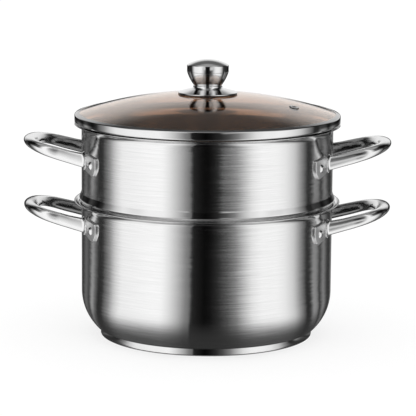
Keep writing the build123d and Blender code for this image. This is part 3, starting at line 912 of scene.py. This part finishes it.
bm = bmesh.new()
spots = [Vector((0, 0, STEAMER_FLOOR * MM))]
for ring in range(1, HOLE_RINGS + 1):
    for hole in range(ring * HOLES_ADDED):
        turn = 2 * pi * hole / (ring * HOLES_ADDED)
        spots.append(Vector((cos(turn), sin(turn), 0)) * ring * HOLE_PITCH * MM + spots[0])
for spot in spots:
    bmesh.ops.create_cone(
        bm, cap_ends=True, segments=ROD_SIDES, radius1=HOLE_RADIUS * MM,
        radius2=HOLE_RADIUS * MM, depth=ROD_LENGTH * MM, matrix=Matrix.Translation(spot),
    )
rods = finished(bm, "hole_rods")
punch = steamer_wall.modifiers.new("punch", "BOOLEAN")
punch.object = rods
punch.operation = "DIFFERENCE"
punch.solver = "EXACT"
keep_result(steamer_wall, "steamer_wall")
bpy.data.objects.remove(rods)
steamer_wall.data.set_sharp_from_angle(angle=radians(SHARP_DEGREES))
dress(steamer_wall, "steamer", "brushed_shell", BRUSHED, "steamer_shell")
polish_rims(steamer_wall)
print("Holes:", len(spots), "faces:", len(steamer_wall.data.polygons))

# %% [markdown]
# ## Handles
# Each handle is a cast loop. Its section is a tall oval where an arm meets the wall and a
# wide, flat oval at the grip, and it turns smoothly from one into the other. So the loop is
# made from rings: `create_circle` makes each oval in its place, and `bridge_loops` joins it
# to the one before.

# %% The loop's line and its ovals
RIVET_TURN = radians(27.9)
HANDLE_TILT = radians(15.2)
HANDLE_REACH = 64.8
ARM_FROM_RIVET = 17.4
ARM_CONVERGE = 4.5
ARM_RISE = 1.25
ROOT_LIFT = 1.8
ROOT_DEPTH = 4.0
GRIP_BEND = 33.6
GRIP_POWER = 0.85
ROOT_OVAL = (11.0, 17.4)
ARM_OVAL = (11.0, 13.8)
GRIP_OVAL = (18.0, 10.8)
ARM_STATIONS = 3
GRIP_STATIONS = 4
ARM_OFFSET = WALL_RADIUS * sin(RIVET_TURN) - ARM_FROM_RIVET
GRIP_OFFSET = ARM_OFFSET - ARM_CONVERGE
ARM_WALL = sqrt(WALL_RADIUS**2 - ARM_OFFSET**2)
ROOT = ARM_WALL - ROOT_DEPTH
GRIP_START = WALL_RADIUS + HANDLE_REACH - GRIP_OVAL[0] / 2 * cos(HANDLE_TILT) - GRIP_BEND


def mixed(first, last, share):
    return first + (last - first) * share


def half_loop():
    """(x, y, z, width, depth) of the ovals that set the shape, from the root to the grip."""
    ovals = []
    for step in range(ARM_STATIONS + 1):
        share = step / ARM_STATIONS
        flare = (1 - share) ** 2
        x = mixed(ROOT, GRIP_START, share)
        rise = ARM_RISE + (x - ARM_WALL) * tan(HANDLE_TILT) + ROOT_LIFT * flare
        width, depth = (mixed(arm, root, flare) for arm, root in zip(ARM_OVAL, ROOT_OVAL))
        ovals.append(Vector((x, mixed(ARM_OFFSET, GRIP_OFFSET, share), rise, width, depth)))
    for step in range(1, GRIP_STATIONS + 1):
        turn = pi / 2 * step / GRIP_STATIONS
        x = GRIP_START + GRIP_BEND * sin(turn) ** GRIP_POWER
        y = GRIP_OFFSET * max(cos(turn), 0) ** GRIP_POWER
        rise = ARM_RISE + (x - ARM_WALL) * tan(HANDLE_TILT)
        width, depth = (mixed(arm, grip, sin(turn)) for arm, grip in zip(ARM_OVAL, GRIP_OVAL))
        ovals.append(Vector((x, y, rise, width, depth)))
    return ovals


half = half_loop()
other_half = [Vector((x, -y, z, width, depth)) for x, y, z, width, depth in reversed(half[:-1])]
STATIONS = half + other_half
print("Ovals that set the loop's shape:", len(STATIONS))

# %% [markdown]
# Between two set ovals the line must keep its bend, or the joint would show as a crease in
# the reflections. A Catmull-Rom curve does that: it passes through every set oval and leaves
# each one in the direction of its two neighbours.

# %% Fill in ovals between the set ones
ROOT_RINGS = 16
LOOP_RINGS = 8


def through(before, first, second, after, share):
    """A point between first and second on the smooth curve through all four."""
    straight_part = first * 2 + (second - before) * share
    bend_part = (before * 2 - first * 5 + second * 4 - after) * share**2
    twist_part = (first * 3 - before - second * 3 + after) * share**3
    return (straight_part + bend_part + twist_part) * 0.5


OVALS = []
line = [STATIONS[0] * 2 - STATIONS[1], *STATIONS, STATIONS[-1] * 2 - STATIONS[-2]]
for index in range(1, len(line) - 2):
    at_root = index in (1, len(line) - 3)
    rings = ROOT_RINGS if at_root else LOOP_RINGS
    for step in range(rings):
        OVALS.append(through(*line[index - 1:index + 3], step / rings))
OVALS.append(STATIONS[-1])
print("Ovals in a loop:", len(OVALS))

# %% [markdown]
# Each oval is a circle stretched by its own matrix and stood across the line. Where an arm
# meets its lug the weld leaves a small hollow curve, so the oval swells there by `flare`, a
# quarter of a circle. What would poke through the wall is pressed back to the wall's face.

# %% Join the ovals into a loop
OVAL_SIDES = 32
FIT_GAP = 0.05
WELD_RADIUS = WALL_RADIUS + FIT_GAP
LUG_SHEET = 2.4
ROOT_FILLET = 2.8


def flare(reach):
    """How far an arm swells at that distance from the pot's axis, all in metres."""
    clear = reach - (WELD_RADIUS + LUG_SHEET) * MM
    fillet = ROOT_FILLET * MM
    if clear < 0:
        return fillet * max(1 + clear / (LUG_SHEET * MM), 0)
    return fillet - sqrt(fillet**2 - max(fillet - clear, 0) ** 2)


def handle_loop(bm):
    """Add the loop of the right-hand handle, at the height of its rivets."""
    up = Vector((-sin(HANDLE_TILT), 0, cos(HANDLE_TILT)))
    middles = [Vector(oval[:3]) for oval in OVALS]
    before = None
    for index, (x, y, z, width, depth) in enumerate(OVALS):
        middle = middles[index]
        ahead, behind = middles[min(index + 1, len(OVALS) - 1)], middles[max(index - 1, 0)]
        along = ((ahead - middle).normalized() + (middle - behind).normalized()).normalized()
        across = along.cross(up)
        frame_of_oval = Matrix((across * width / 2, up * depth / 2, along)).transposed().to_4x4()
        spot = Matrix.Translation(middle * MM) @ Matrix.Scale(MM, 4) @ frame_of_oval
        oval = bmesh.ops.create_circle(bm, segments=OVAL_SIDES, radius=1.0, matrix=spot)
        for vert in oval["verts"]:
            outwards = (vert.co - middle * MM).normalized()
            vert.co += outwards * flare(vert.co.xy.length)
        ring = list({edge for vert in oval["verts"] for edge in vert.link_edges})
        if before:
            bmesh.ops.bridge_loops(bm, edges=before + ring)
        else:
            bmesh.ops.contextual_create(bm, geom=ring)
        before = ring
    bmesh.ops.contextual_create(bm, geom=before)
    for vert in bm.verts:
        inside = WELD_RADIUS * MM - vert.co.xy.length
        if inside > 0:
            vert.co.x = sqrt(max((WELD_RADIUS * MM) ** 2 - vert.co.y**2, 0))

# %% [markdown]
# The lug is a small plate that follows the wall, riveted near its outer corner. It starts as
# a flat outline, gets rounded corners, is cut into narrow strips so that it can bend, and is
# then wrapped round the wall and thickened.

# %% A lug wrapped round the wall
LUG_ROUND = 3.2
LUG_EDGE = 0.5
LUG_STRIP = 3.0
LUG_CORNERS = [
    (-23.0, 8.0), (-12.3, 11.4), (12.3, 9.0), (12.3, -3.0), (5.4, -12.0), (-7.0, -8.7),
    (-23.0, -4.0),
]
RIM_ANGLE = 1.0


def add_mesh(bm, other):
    """Add all of the other bmesh to this one and free it."""
    mesh = bpy.data.meshes.new("added")
    other.to_mesh(mesh)
    other.free()
    bm.from_mesh(mesh)
    bpy.data.meshes.remove(mesh)


def lug(bm, side):
    """Add the lug in front (side -1) or behind (side 1) on the right-hand handle."""
    plate = bmesh.new()
    outline = [plate.verts.new((x * MM, y * MM, 0)) for x, y in LUG_CORNERS]
    plate.faces.new(outline)
    rounded(plate, plate.verts[:], LUG_ROUND, 5, affect="VERTICES")
    cut = LUG_CORNERS[0][0] + LUG_STRIP
    while cut < LUG_CORNERS[2][0]:
        bmesh.ops.bisect_plane(
            plate, geom=plate.verts[:] + plate.edges[:] + plate.faces[:],
            plane_co=(cut * MM, 0, 0), plane_no=(1, 0, 0),
        )
        cut += LUG_STRIP
    grown = bmesh.ops.extrude_face_region(plate, geom=plate.faces[:])["geom"]
    top = [item for item in grown if isinstance(item, bmesh.types.BMVert)]
    bmesh.ops.translate(plate, verts=top, vec=(0, 0, LUG_SHEET * MM))
    bmesh.ops.recalc_face_normals(plate, faces=plate.faces[:])
    corners = [edge for edge in plate.edges if edge.calc_face_angle(0) > RIM_ANGLE]
    rim = [edge for edge in corners if all(vert in top for vert in edge.verts)]
    rounded(plate, rim, LUG_EDGE, 3)
    for vert in plate.verts:
        turn = side * (RIVET_TURN + vert.co.x / (WALL_RADIUS * MM))
        reach = WELD_RADIUS * MM + vert.co.z
        vert.co = Vector((reach * cos(turn), reach * sin(turn), vert.co.y))
    bmesh.ops.recalc_face_normals(plate, faces=plate.faces[:])
    add_mesh(bm, plate)

# %% [markdown]
# A handle is made on the right, at the height of its rivets, and then moved up and turned to
# its side. The loop is polished. The lugs are only sanded to a satin finish, which looks pale
# and even from all sides, so their faces get a second material on the same mesh.

# %% Place the four handles
RIVET_HEIGHTS = {"pot": 127.2, "steamer": 200.0}
SIDES = {"left": pi, "right": 0.0}

for tier, rivet_height in RIVET_HEIGHTS.items():
    for side, turn in SIDES.items():
        bm = bmesh.new()
        handle_loop(bm)
        lug(bm, -1)
        lug(bm, 1)
        spot = Matrix.Translation((0, 0, rivet_height * MM)) @ Matrix.Rotation(turn, 4, "Z")
        bmesh.ops.transform(bm, matrix=spot, verts=bm.verts[:])
        handle = finished(bm, f"{tier}_loop_handle_{side}")
        dress(handle, tier, "polished_handle", HANDLE_STEEL, f"{tier}_handle_{side}")
        handle.data.materials.append(SATIN)
        for face in handle.data.polygons:
            on_lug = face.center.xy.length < (WELD_RADIUS + LUG_SHEET + FIT_GAP) * MM
            face.material_index = int(on_lug)

# %% [markdown]
# ## Rivets
# A rivet has a flat head inside the wall, a shank through wall and lug, and a dome outside.
# Its section is drawn on the Z axis as high up as the wall is far from the pot's axis, so a
# quarter turn lays the spun rivet in its place.

# %% Rivets
RIVET_SEAT = WELD_RADIUS + LUG_SHEET + FIT_GAP
DOME_RADIUS, DOME_HEIGHT = 4.7, 2.5
HEAD_RADIUS, HEAD_SHEET = 5.0, 1.2
HEAD_BENDS = [0.5, 0.3]
HEAD_SEAT = sqrt(MOUTH_RADIUS**2 - HEAD_RADIUS**2) - FIT_GAP
SHANK_RADIUS = 2.5
SMALL_STEPS = 32


def rivet_section():
    """Corners and bends of a rivet that stands on the Z axis, as tall as the wall is far."""
    ball = (DOME_RADIUS**2 + DOME_HEIGHT**2) / (2 * DOME_HEIGHT)
    centre = RIVET_SEAT + DOME_HEIGHT - ball
    corners = [
        (0, HEAD_SEAT - HEAD_SHEET),
        (HEAD_RADIUS, HEAD_SEAT - HEAD_SHEET),
        (HEAD_RADIUS, HEAD_SEAT),
        (SHANK_RADIUS, HEAD_SEAT),
        (SHANK_RADIUS, RIVET_SEAT),
        (DOME_RADIUS, RIVET_SEAT),
        arc_corner(centre, ball, atan2(DOME_RADIUS, RIVET_SEAT - centre), 0),
        (0, RIVET_SEAT + DOME_HEIGHT),
    ]
    return corners, [*HEAD_BENDS, 0, 0, 0, ball]


for tier, rivet_height in RIVET_HEIGHTS.items():
    for side, turn in SIDES.items():
        pair = bmesh.new()
        for sign in (-1, 1):
            bm = bmesh.new()
            spin_section(bm, *rivet_section(), steps=SMALL_STEPS)
            aside = Matrix.Rotation(turn + sign * RIVET_TURN, 4, "Z")
            outwards = aside @ Matrix.Rotation(pi / 2, 4, "Y")
            spot = Matrix.Translation((0, 0, rivet_height * MM)) @ outwards
            bmesh.ops.transform(bm, matrix=spot, verts=bm.verts[:])
            add_mesh(pair, bm)
        rivets = finished(pair, f"{tier}_rivet_pair_{side}")
        dress(rivets, tier, "polished_rivet", HANDLE_STEEL, f"{tier}_rivets_{side}")

# %% [markdown]
# ## The lid
# The glass is a shallow dome, ground from a ball of nearly half a metre. Both its faces are
# arcs about the same centre, and its ground edge is softened by a bevel.

# %% Glass dome
GLASS_RADIUS = 146.6
GLASS_SHEET = 4.0
GLASS_BORE = 5.0
GLASS_EDGE = 1.0
GLASS_SEAT = 4.5
BALL_RADIUS = 460.0
BAND_LEDGE = STEAMER_HEIGHT + 0.3
BALL_DEPTH = sqrt((BALL_RADIUS - GLASS_SHEET) ** 2 - GLASS_RADIUS**2)
BALL_CENTRE = BAND_LEDGE + SHEET + GLASS_SEAT - BALL_DEPTH


def glass_height(radius, depth=0.0):
    """Height of the glass's outer face, or of a face that much under it."""
    return BALL_CENTRE + sqrt((BALL_RADIUS - depth) ** 2 - radius**2)


def glass_arc(first, last, depth):
    """The corner of the arc along that face, from one radius to the other."""
    ball = BALL_RADIUS - depth
    start, end = (atan2(radius, sqrt(ball**2 - radius**2)) for radius in (first, last))
    return arc_corner(BALL_CENTRE, ball, start, end)


glass_corners = [
    (GLASS_BORE, glass_height(GLASS_BORE)),
    glass_arc(GLASS_BORE, GLASS_RADIUS, 0),
    (GLASS_RADIUS, glass_height(GLASS_RADIUS)),
    (GLASS_RADIUS, glass_height(GLASS_RADIUS, GLASS_SHEET)),
    glass_arc(GLASS_RADIUS, GLASS_BORE, GLASS_SHEET),
    (GLASS_BORE, glass_height(GLASS_BORE, GLASS_SHEET)),
    (GLASS_BORE, glass_height(GLASS_BORE)),
]
glass_bends = [BALL_RADIUS, 0, 0, BALL_RADIUS - GLASS_SHEET, 0]
glass = spun("lid_glass_dome", glass_corners, glass_bends, soft_rings=[
    (GLASS_RADIUS, glass_height(GLASS_RADIUS), GLASS_EDGE),
    (GLASS_RADIUS, glass_height(GLASS_RADIUS, GLASS_SHEET), GLASS_EDGE),
])
dress(glass, "lid", "lid_glass", GLASS, "lid_glass")

# %% [markdown]
# A rolled steel band grips the glass's edge over a rubber seal, and a skirt under the band drops
# into the steamer. The skirt tapers a little, so that the lid finds its place. The fold that lies
# on the glass shows as a dark line, so its upward faces get a darker grey of steel: a painted
# dark reflection.

# %% Steel band round the glass
BAND_RADIUS = LIP_RADIUS - 0.3
BAND_FOLD = BAND_RADIUS - 5.1
BAND_BENDS = [3.0, 3.0, 1.4]
SKIRT_RADIUS = MOUTH_RADIUS - 1.2
SKIRT_DEPTH = 7.0
SKIRT_TAPER = 1.2
FOLD_COVER = 0.9
FOLD_LOOKS_UP = 0.75
band_corners = [
    (SKIRT_RADIUS - SKIRT_TAPER, BAND_LEDGE - SKIRT_DEPTH),
    (SKIRT_RADIUS, BAND_LEDGE),
    (BAND_RADIUS, BAND_LEDGE),
    (BAND_RADIUS, glass_height(BAND_RADIUS) + FOLD_COVER),
    (BAND_FOLD, glass_height(BAND_FOLD) + FOLD_COVER),
]
band = spun("lid_steel_band", *both_faces(band_corners, BAND_BENDS, SHEET, LIP_EDGE))
dress(band, "lid", "polished_rim", POLISHED, "lid_rim_band")
# The fold's upward faces get the painted dark reflection.
band.data.materials.append(PAINTED_DARK_STEEL)
for face in band.data.polygons:
    face.material_index = int(face.normal.z > FOLD_LOOKS_UP)

# %% [markdown]
# ## The knob
# The knob is hollow: a domed cap and a tapered cup meet at a fine groove, and a dished flange
# under them spreads the load over the glass. The heights build up from the glass, one part
# on the other, so that a change to the dome moves the whole knob with it.

# %% Heights of the knob's parts
KNOB_RADIUS = 23.3
KNOB_SHEET = 0.9
KNOB_ROUND = 0.6
FLANGE_RADIUS = 33.4
FLANGE_SHEET = 1.2
FLANGE_RIM = 28.0
FLANGE_BOTTOM = glass_height(FLANGE_RIM) + 0.75
FLANGE_TOP = FLANGE_BOTTOM + FLANGE_SHEET
COLLAR_FOOT = FLANGE_TOP + 4.5
CUP_FOOT = COLLAR_FOOT + 3.0
SEAM = CUP_FOOT + 15.2
SEAM_GROOVE = 0.4
CAP_EDGE = SEAM + 7.8
CAP_RISE = 6.0
print("Top of the knob:", round(CAP_EDGE + CAP_RISE, 1), "mm")

# %% [markdown]
# The cap's top is part of a ball. Three sizes fix that ball: the cap's radius, the height of
# its edge and the height of its top.

# %% Cap of the knob
cap_ball = (KNOB_RADIUS**2 + CAP_RISE**2) / (2 * CAP_RISE)
cap_centre = CAP_EDGE + CAP_RISE - cap_ball
cap_corners = [
    (KNOB_RADIUS, SEAM),
    (KNOB_RADIUS, CAP_EDGE),
    arc_corner(cap_centre, cap_ball, atan2(KNOB_RADIUS, CAP_EDGE - cap_centre), 0),
    (0, CAP_EDGE + CAP_RISE),
]
cap = spun("knob_domed_cap", *both_faces(cap_corners, [0, cap_ball], KNOB_SHEET),
           soft_rings=[(KNOB_RADIUS, CAP_EDGE, KNOB_ROUND), (KNOB_RADIUS, SEAM, SEAM_GROOVE)])
dress(cap, "lid", "polished_knob", POLISHED, "knob_cap")

# %% [markdown]
# The cup's side bulges a little. It is an arc over the straight line from foot to seam, and
# the corner of that arc lies twice as far out as the bulge itself.

# %% Cup of the knob
CUP_FOOT_RADIUS = 15.6
CUP_BULGE = 0.75
SCREW_BORE = 2.6
cup_chord = Vector((KNOB_RADIUS - CUP_FOOT_RADIUS, SEAM - CUP_FOOT))
cup_swell = Vector((cup_chord.y, -cup_chord.x)).normalized() * (2 * CUP_BULGE)
cup_middle = Vector((CUP_FOOT_RADIUS, CUP_FOOT)) + cup_chord / 2 + cup_swell
cup_bend = (cup_chord.length_squared / 4 + CUP_BULGE**2) / (2 * CUP_BULGE)
cup_corners = [
    (SCREW_BORE, CUP_FOOT), (CUP_FOOT_RADIUS, CUP_FOOT), cup_middle, (KNOB_RADIUS, SEAM),
]
cup = spun("knob_tapered_cup", *both_faces(cup_corners, [0, cup_bend], KNOB_SHEET),
           soft_rings=[(CUP_FOOT_RADIUS, CUP_FOOT, KNOB_ROUND), (KNOB_RADIUS, SEAM, SEAM_GROOVE)])
dress(cup, "lid", "polished_knob", CUP_STEEL, "knob_cup")

# %% [markdown]
# The flange is one spun disc. A collar stands up in its middle and carries the cup, the disc
# slopes down from there, and its thick rim rests on a rubber ring on the glass.

# %% Flange of the knob
COLLAR_RADIUS = 16.2
FLANGE_BENDS = [0.6, 2.6, 0.5, 0.5, 0, 0, 0, 0, 0]
COLLAR_BORE = COLLAR_RADIUS - FLANGE_SHEET
slope = (COLLAR_FOOT - FLANGE_TOP) / (FLANGE_RADIUS - COLLAR_RADIUS)
flange_corners = [
    (SCREW_BORE, CUP_FOOT),
    (COLLAR_RADIUS, CUP_FOOT),
    (COLLAR_RADIUS, COLLAR_FOOT),
    (FLANGE_RADIUS, FLANGE_TOP),
    (FLANGE_RADIUS, FLANGE_BOTTOM),
    (FLANGE_RIM, FLANGE_BOTTOM),
    (FLANGE_RIM, FLANGE_TOP + slope * (FLANGE_RADIUS - FLANGE_RIM) - FLANGE_SHEET),
    (COLLAR_BORE, COLLAR_FOOT - FLANGE_SHEET * (1 - slope)),
    (COLLAR_BORE, CUP_FOOT - FLANGE_SHEET),
    (SCREW_BORE, CUP_FOOT - FLANGE_SHEET),
    (SCREW_BORE, CUP_FOOT),
]
flange = spun("knob_dished_flange", flange_corners, FLANGE_BENDS)
dress(flange, "lid", "polished_knob", POLISHED, "knob_flange")

# %% [markdown]
# ## The vent
# A small rolled eyelet lets the steam out. It is spun on the Z axis like the rest, with its
# height measured from the glass, then turned to stand square on the dome and moved to its place.
# It gets the same darker grey as the band's fold, a painted dark reflection.

# %% Vent eyelet
VENT_TURN = radians(-19.0)
VENT_DISTANCE = 101.6
VENT_BORE, VENT_TUBE, VENT_CURL, VENT_HEAD = 2.4, 3.2, 5.0, 5.6
VENT_FOOT, VENT_CURL_TOP, VENT_SEAT, VENT_TOP = -5.9, -5.1, 0.1, 1.0
VENT_BENDS = [0.2, 0.2, 0, 0, 0, 0.7, 0.3]
vent_corners = [
    (VENT_BORE, VENT_FOOT),
    (VENT_CURL, VENT_FOOT),
    (VENT_CURL, VENT_CURL_TOP),
    (VENT_TUBE, VENT_CURL_TOP),
    (VENT_TUBE, VENT_SEAT),
    (VENT_HEAD, VENT_SEAT),
    (VENT_HEAD, VENT_TOP),
    (VENT_BORE, VENT_TOP),
    (VENT_BORE, VENT_FOOT),
]
bm = bmesh.new()
spin_section(bm, vent_corners, VENT_BENDS, steps=SMALL_STEPS)
lean = atan2(VENT_DISTANCE, glass_height(VENT_DISTANCE) - BALL_CENTRE)
spot = (
    Matrix.Rotation(VENT_TURN, 4, "Z")
    @ Matrix.Translation((VENT_DISTANCE * MM, 0, glass_height(VENT_DISTANCE) * MM))
    @ Matrix.Rotation(lean, 4, "Y")
)
bmesh.ops.transform(bm, matrix=spot, verts=bm.verts[:])
vent = finished(bm, "lid_vent_eyelet")
# The vent's darker grey is a painted dark reflection.
dress(vent, "lid", "plain_hardware", PAINTED_DARK_STEEL, "vent_eyelet")

# %% [markdown]
# ## Pieces that stay as the CAD made them
# Seals, washers, the screw and the disc in the base are seen through the glass or not at
# all. Their CAD shapes are right, so they only get their finish.

# %% Dress the CAD nodes
CARRIED_OVER = {
    "base_core": ALUMINIUM,
    "lid_rim_seal": RUBBER,
    "vent_gasket": RUBBER,
    "knob_gasket_upper": RUBBER,
    "knob_gasket_lower": RUBBER,
    "knob_insert": HARDWARE,
    "knob_screw": HARDWARE,
    "knob_washer": HARDWARE,
}
for name, material in CARRIED_OVER.items():
    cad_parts[name].data.materials.clear()
    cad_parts[name].data.materials.append(material)
print("CAD nodes shown:", len(CARRIED_OVER))
